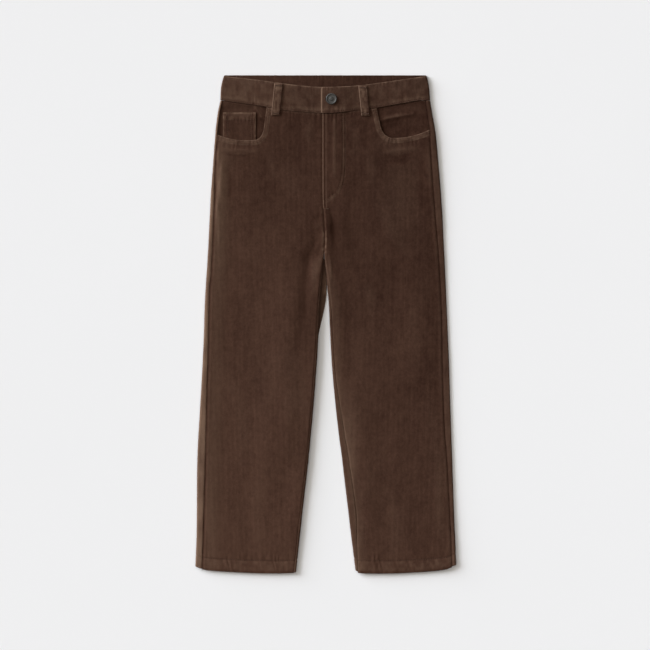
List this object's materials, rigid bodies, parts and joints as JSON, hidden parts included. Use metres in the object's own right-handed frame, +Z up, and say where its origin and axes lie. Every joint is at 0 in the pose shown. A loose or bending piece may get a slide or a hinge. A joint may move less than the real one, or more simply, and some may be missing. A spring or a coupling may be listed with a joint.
{
  "type": "corduroy trousers",
  "caption": "Child's straight corduroy trousers laid flat, front up: fly, lapped waistband with a metal button, belt loops, scooped front pockets and a coin pocket.",
  "frame": {"origin": "on the surface it lies on, under the middle of the garment", "axes": "+X across the garment towards the wearer's left, +Y from the hems to the waist, +Z up from the surface, through the front"},
  "size_m": [0.3779, 0.7222, 0.0105],
  "materials": {
    "corduroy": "fine-wale cotton corduroy, dark brown, soft nap",
    "button_metal": "dark gunmetal, satin"
  },
  "bodies": {
    "root": {"front_right": "corduroy", "front_left": "corduroy", "back_right": "corduroy", "back_left": "corduroy", "pocket_facing_right": "corduroy", "pocket_facing_left": "corduroy", "coin_pocket": "corduroy", "waistband": "corduroy", "belt_loop_front_right": "corduroy", "belt_loop_front_left": "corduroy", "belt_loop_back_right": "corduroy", "belt_loop_back_centre": "corduroy", "belt_loop_back_left": "corduroy", "button": "button_metal"}
  },
  "joints": []
}
